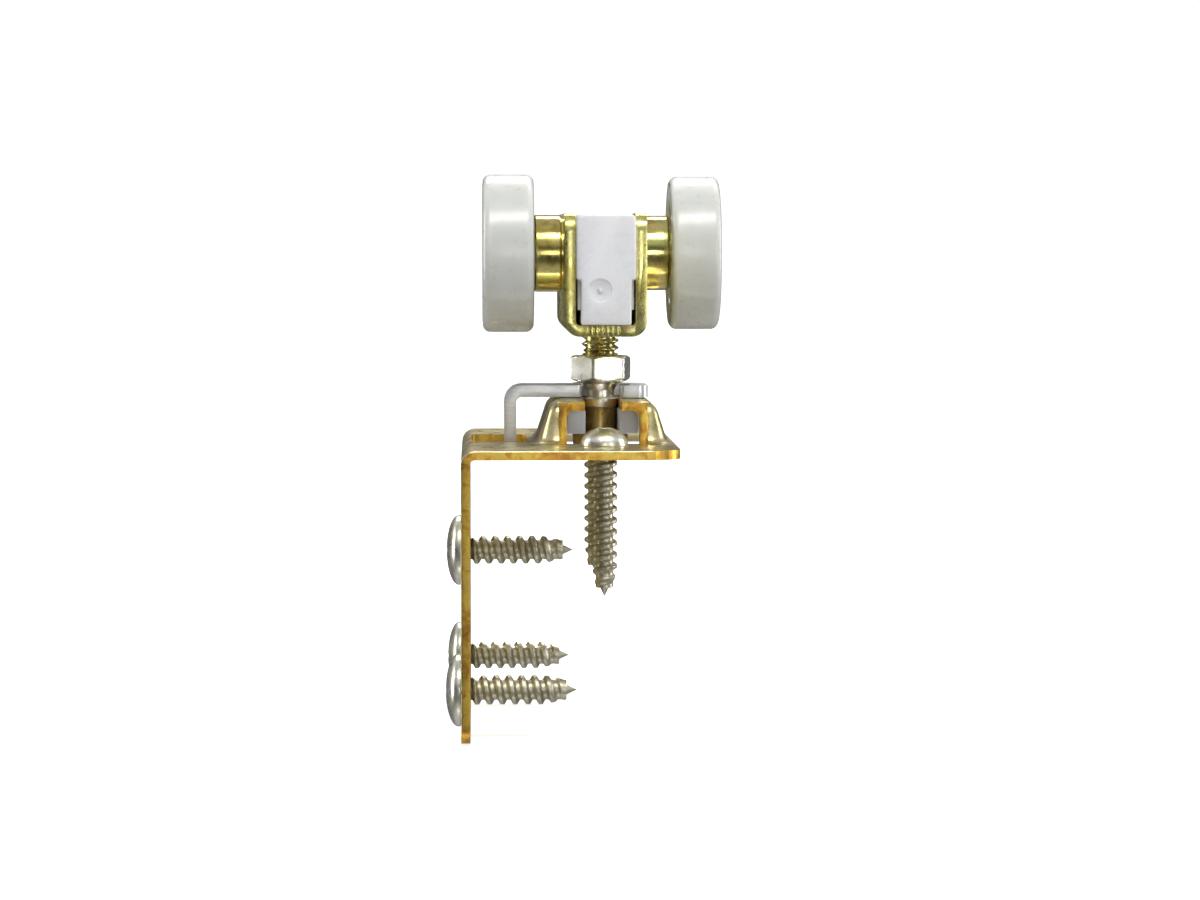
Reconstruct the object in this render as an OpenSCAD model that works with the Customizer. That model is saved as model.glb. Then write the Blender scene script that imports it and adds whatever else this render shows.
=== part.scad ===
// Sliding door roller: a three-wheel track carriage that hangs a wrap-around door plate
// from a height-adjusting screw. +X points from the plate's side leg across the door's edge,
// +Y runs along the track and +Z is up. The origin is on the screw's axis, in the plane of
// the door's top edge. All sizes are in millimetres.

/* [Door plate] */
// Thickness of the door that the plate wraps
door_t = 44.45; // [42:0.05:48]
// Thickness of the plate's sheet
sheet_t = 1.52; // [1.3:0.01:1.7]
// Length of the plate along the door
plate_len = 72; // [70:1:80]
// Height of the side leg below the door's top edge
leg_drop = 46.3; // [45:0.1:60]
// Reach of the top flange past the screw's axis
flange_reach = 12; // [11.7:0.1:14]

/* [Saddle] */
// Height of the saddle's roof above the door's top edge
saddle_top = 8.6; // [8.5:0.1:8.7]
// Width of the slot in the roof
roof_slot_w = 6.16; // [6.14:0.02:6.2]
// Width of the mouth in the near wall
mouth_w = 12.2; // [12.1:0.1:13]

/* [Hanger screw] */
// Outer diameter of the screw thread
thread_d = 6.35; // [6.2:0.05:6.4]
// Hexagon across its flats
hex_af = 9.525; // [9.4:0.025:10]
// Height of the thread's tip
thread_top = 34; // [32:0.5:35]

/* [Carriage] */
// Outer width of the yoke
yoke_w = 13.5; // [13.4:0.1:13.6]
// Length of the yoke along the track
yoke_len = 56; // [54:1:62]
// Wall thickness of the yoke
yoke_t = 1.85; // [1.8:0.05:1.9]
// Height of the yoke's base above the door's top edge
yoke_base = 19.7; // [19.5:0.1:22]
// Height of the yoke's rim above the door's top edge
yoke_rim = 39.9; // [39.5:0.1:42]
// Half the spacing of the two axles on the left side
axle_pitch = 19.05; // [18:0.05:21]
// Height of the axles above the door's top edge
axle_z = 33.3; // [33.2:0.1:33.6]

/* [Wheels] */
// Tread diameter of a wheel
wheel_d = 26; // [24:0.5:27]
// Tread width of a wheel
wheel_w = 8.4; // [8.3:0.1:9]
// Distance from the yoke's middle to a wheel's inner face
wheel_in = 11.7; // [11.7:0.05:12]

/* [Hidden] */
$fn = 64;
HULL_FN = 32;
EPS = 0.5;

// Door plate
leg_in = -door_t / 2;
leg_out = leg_in - sheet_t;
bend_r = 2.3;
flange_corner = 5;
leg_corner = 3;
half_len = plate_len / 2;

// Saddle: half widths and half lengths of its outer skin at four heights
saddle_foot = [11.4, 17.6];
saddle_shoulder = [9.0, 15.6];
saddle_brow = [8.2, 14.9];
saddle_crown = [6.9, 13.9];
saddle_corner = 3;
saddle_under = saddle_top - sheet_t;
shoulder_drop = 1.3;
brow_drop = 0.45;
slice = 0.02;
nose_y = -14;
nose_w = 14.8;
lip_y = [-16.4, -13];
lip_overlap = 0.1;
lip_round = 2.4;
mouth_round = 1;

// Window for the lock lever's leg
window_x = [-22, -12.6];
window_y = [-9.2, 15.3];
window_corner = 1.5;

// Liner
liner_w = 12;
liner_y = [-11, 6.3];
liner_z = [2.95, 6.95];
liner_edge = 0.45;
liner_slot_w = 5.66;

// Lock lever
lever_z = [8.8, 10.8];
lever_t = lever_z[1] - lever_z[0];
pivot = [0, 9.5];
pivot_hole_d = 4.12;
pivot_boss_r = 4.4;
lever_swing = 18;
notch_r = 3.3;
notch_seam = 0.02;
lever_leg_x = -16.4;
lever_leg_y = [-3, 8];
lever_leg_foot = 1.3;
lever_bend_r = 3;
lever_right = 8;
claw_y = -5.3;
claw_corner = 1.8;
arm_corner = 3;

// Lever rivet and washer
rivet_d = 4;
rivet_head_d = 6.6;
washer_z = [10.9, 11.2];
washer_d = 7.4;
rivet_top = 12.3;
rivet_tail = 6.0;
rivet_tail_d = 5;

// Screws into the door
side_head_d = 12;
side_head_h = 2.6;
side_head_rim = 0.5;
side_shank_d = 4.8;
side_shank_len = 19;
side_neck_d = 5.4;
side_upper = [0, -17.5];
side_lower_y = 25.4;
side_lower_z = -38.5;
top_head_d = 7.8;
top_head_h = 3.1;
top_head_rim = 0.6;
top_shank_d = 4.2;
top_shank_len = 25;
top_neck_d = 4.8;
top_screw_y = 21;
recess_d = 5;
recess_arm = 1.0;

// Hanger screw
head_z = [0.4, 2.9];
head_d = 9.4;
head_edge = 0.6;
shank_d = 5.5;
collar_z = [7.1, 8.6];
collar_d = 6;
neck_d = 4.9;
neck_top = 10;
cone_top = 11.05;
cone_d = 6;
hex_z = [11.6, 15.8];
hex_turn = 16;
hex_edge = 0.2;
hex_chamfer = 0.5;
tip_chamfer = 0.8;

// Carriage
yoke_in = yoke_w / 2 - yoke_t;
floor_z = yoke_base + yoke_t;
yoke_bend_r = 2.5;
yoke_corner = 3;
tooth_rows = 3;
tooth_pitch = 0.85;
tooth_gap = 0.4;
tooth_depth = 0.7;
nut_d = 9.4;
nut_top = 26.4;
nut_spigot_d = 8;
nut_clearance = 0.05;
block_w = 9.7;
block_foot_w = 8.2;
block_step_z = 29;
block_rib_w = 9.2;
block_rib_z = 24.1;
block_rib_len = 54;
block_len = 60;
block_top = 39.7;
block_edge = 0.7;
block_gap = 0.1;
block_bore_d = 7.4;
dimple_d = 3.9;
dimple_depth = 0.5;
dimple_at = [-1, 27.3];

// Axle stations: [side, place along the track]
NEAR_LEFT = [-1, -axle_pitch];
FAR_LEFT = [-1, axle_pitch];
RIGHT = [1, 0];

// Axle: diameters and ends, measured outward from the yoke's middle
axle_tail_d = 8;
axle_tail_t = 1;
spindle_d = 6;
shoulder_d = 12.7;
shoulder_end = wheel_in - 0.1;
step_d = 8.4;
bearing_x = [wheel_in + 0.9, wheel_in + 6.9];
bearing_mid = (bearing_x[0] + bearing_x[1]) / 2;
axle_head_d = 8.8;
axle_end = wheel_in + 8.1;
fit = 0.01;
seat = 0.04;

// Bearing
inner_ring_d = 9.9;
outer_ring_bore = 14.5;
bearing_d = 19;
ball_d = 3.2;
ball_pitch_r = 6.1;
balls = 7;
groove_play = 0.05;
cage_r = [5.7, 6.5];
cage_w = 4.2;
ring_edge = 0.3;

// Wheel
lip_d = 17.6;
tread_edge = 1.2;
web_depth = 0.6;
web_r = [10.2, 11.6];

// Bodies of revolution whose profile is [radius, distance outward] points on the X axis
module outward(side) {
    rotate([0, side * 90, 0]) children();
}

module at_axle(place) {
    translate([0, place[1], axle_z]) outward(place[0]) children();
}

// A flat block with four round corners, from ranges along X, Y and Z
module round_plate(x, y, z, r) {
    translate([x[0] + r, y[0], z[0]]) cube([x[1] - x[0] - 2 * r, y[1] - y[0], z[1] - z[0]]);
    translate([x[0], y[0] + r, z[0]]) cube([x[1] - x[0], y[1] - y[0] - 2 * r, z[1] - z[0]]);
    for (cx = [x[0] + r, x[1] - r], cy = [y[0] + r, y[1] - r])
        translate([cx, cy, z[0]]) cylinder(h = z[1] - z[0], r = r);
}

// One rounded layer of the saddle, size = [half width, half length]
module saddle_layer(size, z, inset) {
    r = saddle_corner - inset / 2;
    for (sx = [-1, 1], sy = [-1, 1])
        translate([sx * (size[0] - inset - r), sy * (size[1] - inset - r), z])
            cylinder(h = slice, r = r, $fn = HULL_FN);
}

module saddle_form(top, foot, inset) {
    hull() {
        saddle_layer(saddle_foot, foot, inset);
        saddle_layer(saddle_shoulder, top - shoulder_drop, inset);
        saddle_layer(saddle_brow, top - brow_drop, inset);
        saddle_layer(saddle_crown, top - slice, inset);
    }
}

// An upright arch in XZ with round shoulders, from a half width, foot height, top height and radius
module arch(half, foot, top, r) {
    translate([-half, foot]) square([2 * half, top - r - foot]);
    translate([-half + r, foot]) square([2 * half - 2 * r, top - foot]);
    for (side = [-1, 1])
        translate([side * (half - r), top - r]) circle(r = r);
}

// The cut edge that frames the mouth, joined to the flange at its feet
module mouth_lip() {
    translate([0, lip_y[1], 0]) rotate([90, 0, 0]) linear_extrude(lip_y[1] - lip_y[0]) difference() {
        arch(nose_w / 2 + lip_overlap, sheet_t / 2, saddle_top - lip_overlap / 2, lip_round);
        arch(mouth_w / 2, -EPS, saddle_under, mouth_round);
    }
}

module flange() {
    translate([leg_out + bend_r, -half_len, 0])
        cube([flange_reach - flange_corner - leg_out - bend_r, plate_len, sheet_t]);
    translate([0, -half_len + flange_corner, 0])
        cube([flange_reach, plate_len - 2 * flange_corner, sheet_t]);
    for (sy = [-1, 1])
        translate([flange_reach - flange_corner, sy * (half_len - flange_corner), 0])
            cylinder(h = sheet_t, r = flange_corner);
}

module side_leg() {
    top = sheet_t - bend_r;
    translate([leg_out, -half_len, -leg_drop + leg_corner])
        cube([sheet_t, plate_len, top + leg_drop - leg_corner]);
    translate([leg_out, -half_len + leg_corner, -leg_drop])
        cube([sheet_t, plate_len - 2 * leg_corner, leg_corner]);
    for (sy = [-1, 1])
        translate([leg_out, sy * (half_len - leg_corner), -leg_drop + leg_corner])
            rotate([0, 90, 0]) cylinder(h = sheet_t, r = leg_corner);
}

module plate_bend() {
    intersection() {
        translate([leg_out + bend_r, half_len, sheet_t - bend_r]) rotate([90, 0, 0]) difference() {
            cylinder(h = plate_len, r = bend_r);
            translate([0, 0, -EPS]) cylinder(h = plate_len + 2 * EPS, r = bend_r - sheet_t);
        }
        translate([leg_out, -half_len, sheet_t - bend_r]) cube([bend_r, plate_len, bend_r]);
    }
}

module door_plate() {
    color([0.80, 0.68, 0.36]) difference() {
        union() {
            difference() {
                union() {
                    flange();
                    plate_bend();
                    side_leg();
                    saddle_form(saddle_top, 0.1, 0);
                }
                saddle_form(saddle_under, -EPS, sheet_t);
                // The trimmed nose
                translate([-nose_w / 2, -half_len / 2 - EPS, sheet_t])
                    cube([nose_w, half_len / 2 + EPS + nose_y, saddle_top]);
                // The mouth in the near wall
                translate([-mouth_w / 2, -half_len / 2 - EPS, sheet_t])
                    cube([mouth_w, half_len / 2, saddle_under - sheet_t]);
            }
            mouth_lip();
        }
        // The slot in the roof, closed round the screw
        translate([-roof_slot_w / 2, -half_len / 2 - EPS, sheet_t])
            cube([roof_slot_w, half_len / 2 + EPS, saddle_top]);
        cylinder(h = saddle_top + EPS, d = roof_slot_w);
        // The lever's window
        round_plate(window_x, window_y, [-EPS, sheet_t + EPS], window_corner);
        // Holes for the rivet and the screws
        translate([pivot[0], pivot[1], saddle_under - EPS]) cylinder(h = sheet_t + 2 * EPS, d = rivet_d);
        for (sy = [-1, 1])
            translate([0, sy * top_screw_y, -EPS]) cylinder(h = sheet_t + 2 * EPS, d = top_neck_d + 2 * seat);
        for (place = [side_upper, [-side_lower_y, side_lower_z], [side_lower_y, side_lower_z]])
            translate([leg_out - EPS, place[0], place[1]]) rotate([0, 90, 0])
                cylinder(h = sheet_t + 2 * EPS, d = side_neck_d + 2 * seat);
    }
}

module slot_liner() {
    size_y = liner_y[1] - liner_y[0];
    size_z = liner_z[1] - liner_z[0];
    color([0.86, 0.89, 0.92]) difference() {
        translate([0, liner_y[1], liner_z[0]]) rotate([90, 0, 0]) linear_extrude(size_y) polygon([
            [-liner_w / 2, 0], [liner_w / 2, 0], [liner_w / 2, size_z - liner_edge],
            [liner_w / 2 - liner_edge, size_z], [-liner_w / 2 + liner_edge, size_z],
            [-liner_w / 2, size_z - liner_edge]]);
        translate([-liner_slot_w / 2, liner_y[0] - EPS, liner_z[0] - EPS])
            cube([liner_slot_w, -liner_y[0] + EPS, size_z + 2 * EPS]);
        translate([0, 0, liner_z[0] - EPS]) cylinder(h = size_z + 2 * EPS, d = liner_slot_w);
    }
}

// The lever's flat outline, with its notch swept about the pivot
module lever_blank() {
    translate([lever_leg_x + lever_bend_r, lever_leg_y[0]])
        square([-lever_leg_x - lever_bend_r, lever_leg_y[1] - lever_leg_y[0]]);
    translate(pivot) circle(r = pivot_boss_r);
    translate([-pivot_boss_r, 0]) square([2 * pivot_boss_r, pivot[1]]);
    translate([0, claw_y]) square([lever_right - claw_corner, claw_corner]);
    translate([lever_right - claw_corner, claw_y + claw_corner]) circle(r = claw_corner);
    translate([0, claw_y + claw_corner])
        square([lever_right, pivot[1] - arm_corner - claw_y - claw_corner]);
    translate([0, pivot[1] - arm_corner - EPS]) square([lever_right - arm_corner, arm_corner + EPS]);
    translate([lever_right - arm_corner, pivot[1] - arm_corner]) circle(r = arm_corner);
}

// Room for the screw's neck, from rest to the end of the swing
module lever_notch() {
    half_chord = pivot[1] * sin(lever_swing / 2);
    side = notch_r - notch_seam;
    for (turn = [0, lever_swing])
        translate(pivot) rotate(turn) translate([0, -pivot[1]]) circle(r = notch_r);
    translate(pivot) rotate(lever_swing / 2) translate([0, -pivot[1] * cos(lever_swing / 2)])
        translate([-half_chord, -side]) square([2 * half_chord, 2 * side]);
    translate([-side, claw_y - EPS]) square([2 * side, -claw_y + EPS]);
}

module lock_lever() {
    color([0.78, 0.80, 0.83]) {
        translate([0, 0, lever_z[0]]) linear_extrude(lever_t) difference() {
            lever_blank();
            lever_notch();
            translate(pivot) circle(d = pivot_hole_d);
        }
        intersection() {
            translate([lever_leg_x + lever_bend_r, lever_leg_y[1], lever_z[1] - lever_bend_r])
                rotate([90, 0, 0]) difference() {
                    cylinder(h = lever_leg_y[1] - lever_leg_y[0], r = lever_bend_r);
                    translate([0, 0, -EPS])
                        cylinder(h = lever_leg_y[1] - lever_leg_y[0] + 2 * EPS, r = lever_bend_r - lever_t);
                }
            translate([lever_leg_x, lever_leg_y[0], lever_z[1] - lever_bend_r])
                cube([lever_bend_r, lever_leg_y[1] - lever_leg_y[0], lever_bend_r]);
        }
        translate([lever_leg_x, lever_leg_y[0], lever_leg_foot])
            cube([lever_t, lever_leg_y[1] - lever_leg_y[0], lever_z[1] - lever_bend_r - lever_leg_foot]);
    }
}

// A domed head over a flat base: base diameter, height and rim height
module dome_profile(d, h, rim) {
    bulge = ((d / 2) * (d / 2) + (h - rim) * (h - rim)) / (2 * (h - rim));
    square([d / 2, rim]);
    intersection() {
        translate([0, h - bulge]) circle(r = bulge, $fn = 128);
        square([d / 2, h]);
    }
}

module domed_head(d, h, rim) {
    rotate_extrude() dome_profile(d, h, rim);
}

module lever_rivet() {
    color([0.80, 0.70, 0.42]) {
        translate([pivot[0], pivot[1], washer_z[1]])
            domed_head(rivet_head_d, rivet_top - washer_z[1], 0.4);
        translate([pivot[0], pivot[1], rivet_tail])
            cylinder(h = washer_z[1] - rivet_tail, d = rivet_d);
        translate([pivot[0], pivot[1], rivet_tail]) cylinder(h = saddle_under - rivet_tail, d = rivet_tail_d);
    }
}

module lever_washer() {
    color([0.62, 0.62, 0.64]) translate([pivot[0], pivot[1], washer_z[0]]) difference() {
        cylinder(h = washer_z[1] - washer_z[0], d = washer_d);
        translate([0, 0, -EPS]) cylinder(h = 2, d = rivet_d);
    }
}

// A cross recess, cut down from the top of a head
module cross_recess(top, depth) {
    for (turn = [0, 90])
        rotate(turn) translate([-recess_d / 2, -recess_arm / 2, top - depth])
            cube([recess_d, recess_arm, depth + EPS]);
}

// A screw with its head's seat at Z = 0 and its shank along -Z, under a thicker neck in the sheet
module door_screw(head_d, head_h, rim, neck_d, shank_d, shank_len) {
    point = shank_d / 2;
    difference() {
        domed_head(head_d, head_h, rim);
        cross_recess(head_h, head_h * 0.6);
    }
    translate([0, 0, -sheet_t]) cylinder(h = sheet_t + EPS, d = neck_d);
    translate([0, 0, -shank_len + point]) cylinder(h = shank_len - point, d = shank_d);
    translate([0, 0, -shank_len]) cylinder(h = point, r1 = 0.3, r2 = shank_d / 2);
}

module side_screw(place) {
    color([0.80, 0.76, 0.64]) translate([leg_out, place[0], place[1]]) rotate([0, -90, 0])
        door_screw(side_head_d, side_head_h, side_head_rim, side_neck_d, side_shank_d, side_shank_len);
}

module top_screw(y) {
    color([0.80, 0.76, 0.64]) translate([0, y, sheet_t])
        door_screw(top_head_d, top_head_h, top_head_rim, top_neck_d, top_shank_d, top_shank_len);
}

module hanger_screw() {
    corner_r = hex_af / 2 / cos(30);
    color([0.84, 0.80, 0.62]) {
        rotate_extrude() polygon([
            [0, head_z[0]], [head_d / 2 - head_edge, head_z[0]],
            [head_d / 2, head_z[0] + head_edge], [head_d / 2, head_z[1]], [shank_d / 2, head_z[1]],
            [shank_d / 2, collar_z[0]], [collar_d / 2, collar_z[0]], [collar_d / 2, collar_z[1]],
            [neck_d / 2, collar_z[1]], [neck_d / 2, neck_top], [cone_d / 2, cone_top],
            [hex_af / 2 - hex_edge, hex_z[0]], [hex_af / 2 - hex_edge, hex_z[1]],
            [thread_d / 2, hex_z[1]], [thread_d / 2, thread_top - tip_chamfer],
            [thread_d / 2 - tip_chamfer, thread_top], [0, thread_top]]);
        intersection() {
            rotate(hex_turn) translate([0, 0, hex_z[0]])
                cylinder(h = hex_z[1] - hex_z[0], r = corner_r, $fn = 6);
            rotate_extrude() polygon([
                [0, hex_z[0]], [hex_af / 2 - hex_edge / 2, hex_z[0]],
                [corner_r + 0.1, hex_z[0] + hex_chamfer], [corner_r + 0.1, hex_z[1] - hex_chamfer],
                [hex_af / 2 - hex_edge / 2, hex_z[1]], [0, hex_z[1]]]);
        }
    }
}

// The yoke's long wall with round ends at its rim
module yoke_wall(side) {
    z0 = yoke_base + yoke_bend_r;
    x0 = side > 0 ? yoke_in : -yoke_w / 2;
    half = yoke_len / 2;
    translate([x0, -half, z0]) cube([yoke_t, yoke_len, yoke_rim - yoke_corner - z0]);
    translate([x0, -half + yoke_corner, z0])
        cube([yoke_t, yoke_len - 2 * yoke_corner, yoke_rim - z0]);
    for (sy = [-1, 1])
        translate([x0, sy * (half - yoke_corner), yoke_rim - yoke_corner])
            rotate([0, 90, 0]) cylinder(h = yoke_t, r = yoke_corner);
}

module yoke_bend(side) {
    x0 = side * (yoke_w / 2 - yoke_bend_r);
    intersection() {
        translate([x0, yoke_len / 2, yoke_base + yoke_bend_r]) rotate([90, 0, 0]) difference() {
            cylinder(h = yoke_len, r = yoke_bend_r);
            translate([0, 0, -EPS]) cylinder(h = yoke_len + 2 * EPS, r = yoke_bend_r - yoke_t);
        }
        translate([min(x0, x0 + side * yoke_bend_r), -yoke_len / 2, yoke_base])
            cube([yoke_bend_r, yoke_len, yoke_bend_r]);
    }
}

module yoke() {
    floor_w = yoke_w - 2 * yoke_bend_r;
    color([0.82, 0.70, 0.38]) difference() {
        union() {
            translate([-floor_w / 2, -yoke_len / 2, yoke_base]) cube([floor_w, yoke_len, yoke_t]);
            for (side = [-1, 1]) {
                yoke_bend(side);
                yoke_wall(side);
            }
        }
        translate([0, 0, yoke_base - EPS]) cylinder(h = yoke_t + 2 * EPS, d = nut_spigot_d + 2 * seat);
        // Grip teeth across the base at both ends
        for (end = [-1, 1], k = [-tooth_rows : tooth_rows])
            translate([k * tooth_pitch - tooth_gap / 2, end * yoke_len / 2 - tooth_depth, yoke_base - EPS])
                cube([tooth_gap, 2 * tooth_depth, yoke_t + 2 * EPS]);
        for (place = [NEAR_LEFT, FAR_LEFT, RIGHT])
            at_axle(place) translate([0, 0, yoke_in - EPS])
                cylinder(h = yoke_t + 2 * EPS, d = spindle_d + 2 * seat);
    }
}

module clinch_nut() {
    color([0.76, 0.66, 0.40]) difference() {
        union() {
            translate([0, 0, yoke_base]) cylinder(h = nut_top - yoke_base, d = nut_spigot_d);
            translate([0, 0, floor_z]) cylinder(h = nut_top - floor_z, d = nut_d);
        }
        translate([0, 0, yoke_base - EPS])
            cylinder(h = nut_top, d = thread_d + 2 * nut_clearance);
    }
}

module bumper_block() {
    half = block_len / 2;
    foot = floor_z + block_gap;
    section = [
        [-block_foot_w / 2, foot], [block_foot_w / 2, foot], [block_foot_w / 2, block_step_z],
        [block_w / 2, block_step_z], [block_w / 2, block_top - block_edge],
        [block_w / 2 - block_edge, block_top], [-block_w / 2 + block_edge, block_top],
        [-block_w / 2, block_top - block_edge], [-block_w / 2, block_step_z],
        [-block_foot_w / 2, block_step_z]];
    color([0.92, 0.94, 0.95]) difference() {
        union() {
            translate([0, half, 0]) rotate([90, 0, 0]) linear_extrude(block_len) polygon(section);
            // Ribs that centre the foot between the yoke's walls
            translate([-block_rib_w / 2, -block_rib_len / 2, block_rib_z])
                cube([block_rib_w, block_rib_len, block_step_z - block_rib_z + EPS]);
        }
        // Room for the nut and for the thread's tip
        cylinder(h = nut_top + block_gap, d = nut_d + 2 * block_gap);
        cylinder(h = block_top + EPS, d = block_bore_d);
        // Pockets for the axles' riveted tails
        for (place = [NEAR_LEFT, FAR_LEFT, RIGHT])
            at_axle(place) translate([0, 0, yoke_in - axle_tail_t - block_gap])
                cylinder(h = 2, d = axle_tail_d + 2 * block_gap);
        // A shallow moulding dimple in each end
        for (sy = [-1, 1])
            translate([dimple_at[0], sy * half, dimple_at[1]]) rotate([90, 0, 0])
                cylinder(h = 2 * dimple_depth, d = dimple_d, center = true);
    }
}

module axle(place) {
    tail = yoke_in - axle_tail_t;
    color([0.80, 0.70, 0.42]) at_axle(place) rotate_extrude() polygon([
        [0, tail], [axle_tail_d / 2, tail], [axle_tail_d / 2, yoke_in], [spindle_d / 2, yoke_in],
        [spindle_d / 2, yoke_w / 2], [shoulder_d / 2 - 0.3, yoke_w / 2],
        [shoulder_d / 2, yoke_w / 2 + 0.3], [shoulder_d / 2, shoulder_end - 0.3],
        [shoulder_d / 2 - 0.3, shoulder_end], [step_d / 2, shoulder_end],
        [step_d / 2, bearing_x[0]], [spindle_d / 2, bearing_x[0]], [spindle_d / 2, bearing_x[1]],
        [axle_head_d / 2, bearing_x[1]], [axle_head_d / 2 - 0.5, axle_end - 0.3],
        [axle_head_d / 2 - 1.4, axle_end], [0, axle_end]]);
}

// A bearing ring between two radii, with chamfered edges and a ball groove
module bearing_ring(r_in, r_out, edge_in, edge_out) {
    x = bearing_x;
    rotate_extrude() difference() {
        polygon([
            [r_in + edge_in, x[0]], [r_out - edge_out, x[0]], [r_out, x[0] + edge_out],
            [r_out, x[1] - edge_out], [r_out - edge_out, x[1]], [r_in + edge_in, x[1]],
            [r_in, x[1] - edge_in], [r_in, x[0] + edge_in]]);
        translate([ball_pitch_r, bearing_mid]) circle(d = ball_d + 2 * groove_play);
    }
}

module inner_ring(place) {
    color([0.70, 0.71, 0.73]) at_axle(place)
        bearing_ring(spindle_d / 2 + fit, inner_ring_d / 2, ring_edge, ring_edge);
}

module outer_ring(place) {
    color([0.66, 0.67, 0.69]) at_axle(place)
        bearing_ring(outer_ring_bore / 2, bearing_d / 2, ring_edge, ring_edge);
}

module ball_set(place) {
    color([0.85, 0.86, 0.88]) at_axle(place) for (i = [0 : balls - 1])
        rotate(i * 360 / balls) translate([ball_pitch_r, 0, bearing_mid]) sphere(d = ball_d);
}

module cage(place) {
    color([0.55, 0.42, 0.22]) at_axle(place) difference() {
        translate([0, 0, bearing_mid - cage_w / 2]) cylinder(h = cage_w, r = cage_r[1]);
        translate([0, 0, bearing_mid - cage_w]) cylinder(h = 2 * cage_w, r = cage_r[0]);
        for (i = [0 : balls - 1])
            rotate(i * 360 / balls) translate([0, 0, bearing_mid]) rotate([0, 90, 0])
                cylinder(h = 2 * ball_pitch_r, d = ball_d + 4 * groove_play);
    }
}

module tyre(place) {
    x0 = wheel_in;
    x1 = wheel_in + wheel_w;
    bore = bearing_d / 2 + fit;
    tread = wheel_d / 2;
    e = tread_edge;
    color([0.84, 0.83, 0.79]) at_axle(place) rotate_extrude() difference() {
        union() {
            translate([lip_d / 2, x0]) square([tread - e - lip_d / 2, wheel_w]);
            translate([lip_d / 2, x0 + e]) square([tread - lip_d / 2, wheel_w - 2 * e]);
            for (x = [x0 + e, x1 - e]) translate([tread - e, x]) circle(r = e);
        }
        // The seat that holds the bearing
        translate([lip_d / 2 - 1, bearing_x[0] - fit])
            square([bore - lip_d / 2 + 1, bearing_x[1] - bearing_x[0] + 2 * fit]);
        // A shallow web in the outer face
        translate([web_r[0], x1 - web_depth]) square([web_r[1] - web_r[0], 2 * web_depth]);
    }
}

door_plate();
slot_liner();
lever_rivet();
lever_washer();
side_screw(side_upper);  // side_screw_upper
side_screw([-side_lower_y, side_lower_z]);  // side_screw_near
side_screw([side_lower_y, side_lower_z]);  // side_screw_far
top_screw(-top_screw_y);  // top_screw_near
top_screw(top_screw_y);  // top_screw_far
lock_lever();
hanger_screw();
yoke();
clinch_nut();
bumper_block();
axle(NEAR_LEFT);  // axle_near_left
axle(FAR_LEFT);  // axle_far_left
axle(RIGHT);  // axle_right
inner_ring(NEAR_LEFT);  // inner_ring_near_left
inner_ring(FAR_LEFT);  // inner_ring_far_left
inner_ring(RIGHT);  // inner_ring_right
tyre(NEAR_LEFT);  // tyre_near_left
tyre(FAR_LEFT);  // tyre_far_left
tyre(RIGHT);  // tyre_right
outer_ring(NEAR_LEFT);  // outer_ring_near_left
outer_ring(FAR_LEFT);  // outer_ring_far_left
outer_ring(RIGHT);  // outer_ring_right
ball_set(NEAR_LEFT);  // ball_set_near_left
ball_set(FAR_LEFT);  // ball_set_far_left
ball_set(RIGHT);  // ball_set_right
cage(NEAR_LEFT);  // cage_near_left
cage(FAR_LEFT);  // cage_far_left
cage(RIGHT);  // cage_right
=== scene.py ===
"""A sliding door roller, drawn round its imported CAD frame. Lengths are millimetres times MM."""
import math

import bmesh
import bpy
from mathutils import Matrix, Vector


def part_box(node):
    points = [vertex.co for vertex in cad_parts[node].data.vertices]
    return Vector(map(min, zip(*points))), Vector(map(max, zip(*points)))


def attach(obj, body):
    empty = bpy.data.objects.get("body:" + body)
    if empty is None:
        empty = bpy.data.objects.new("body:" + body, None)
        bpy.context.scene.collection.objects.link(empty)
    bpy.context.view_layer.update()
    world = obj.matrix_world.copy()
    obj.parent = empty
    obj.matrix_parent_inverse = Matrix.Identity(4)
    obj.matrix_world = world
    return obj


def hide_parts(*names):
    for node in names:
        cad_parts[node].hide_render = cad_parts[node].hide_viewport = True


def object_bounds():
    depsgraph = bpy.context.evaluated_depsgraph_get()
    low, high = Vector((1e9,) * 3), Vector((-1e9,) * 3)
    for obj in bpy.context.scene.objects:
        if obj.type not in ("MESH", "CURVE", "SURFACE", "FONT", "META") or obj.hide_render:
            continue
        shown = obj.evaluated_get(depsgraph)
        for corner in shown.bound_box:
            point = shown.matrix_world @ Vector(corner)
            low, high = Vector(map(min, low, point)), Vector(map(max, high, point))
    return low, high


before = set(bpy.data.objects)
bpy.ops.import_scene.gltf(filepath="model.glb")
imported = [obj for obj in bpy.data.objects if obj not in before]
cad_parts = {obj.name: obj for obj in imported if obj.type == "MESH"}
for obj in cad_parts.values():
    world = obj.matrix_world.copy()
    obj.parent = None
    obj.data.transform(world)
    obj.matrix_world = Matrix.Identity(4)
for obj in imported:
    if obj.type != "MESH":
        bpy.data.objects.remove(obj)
CAD_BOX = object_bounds()
MM = 0.001
STEPS = 144

# ---------------------------------------------------------------- camera, light and stage

CAMERA_AT = (-21.2, -621.0, 35.3)
CAMERA_AIM = (0.0341, 1.0, -0.0575)
CAMERA_LENS = 109.0
SKY = [(0.0, 0.64), (0.16, 0.58), (0.30, 0.18), (0.55, 0.10), (0.66, 0.22), (0.74, 0.8), (0.88, 0.7),
       (0.94, 0.45), (1.0, 0.75)]
SKY_STRENGTH = 0.75
FLOOR_GAP = 0.4
FLOOR_SIDES = 96
FLOOR_R = 0.55
SWEEP_R = 0.9
WALL = (1.45, 2.4)
ROOF_Z = 2.8


def make_camera():
    data = bpy.data.cameras.new("camera")
    data.lens = CAMERA_LENS
    data.sensor_width = 36.0
    data.clip_start = 0.01
    camera = bpy.data.objects.new("camera", data)
    camera.location = Vector(CAMERA_AT) * MM
    camera.rotation_euler = Vector(CAMERA_AIM).to_track_quat("-Z", "Y").to_euler()
    bpy.context.scene.collection.objects.link(camera)
    bpy.context.scene.camera = camera


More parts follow.
